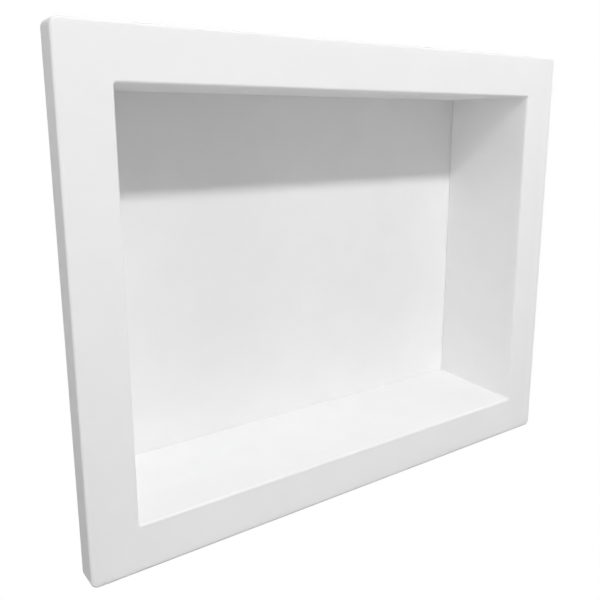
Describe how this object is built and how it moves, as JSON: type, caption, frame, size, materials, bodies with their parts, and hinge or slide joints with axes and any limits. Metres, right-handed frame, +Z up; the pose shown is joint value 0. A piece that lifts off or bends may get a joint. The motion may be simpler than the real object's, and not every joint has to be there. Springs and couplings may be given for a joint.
{
  "type": "shower niche insert",
  "caption": "White recessed shower niche: a flat face frame with rounded corners round a shallow square-cornered box whose floor falls to the front to drain.",
  "frame": {"origin": "middle of the face frame's width and height, on the back of the frame, which is the wall's finished face", "axes": "+X to the right as seen from the room, +Y into the wall, +Z up"},
  "size_m": [0.38, 0.081, 0.3],
  "materials": {
    "solid_surface": "white, sanded to a fine satin"
  },
  "bodies": {
    "root": {"face_frame": "solid_surface", "top_panel": "solid_surface", "sill_panel": "solid_surface", "left_panel": "solid_surface", "right_panel": "solid_surface", "back_panel": "solid_surface"}
  },
  "joints": []
}
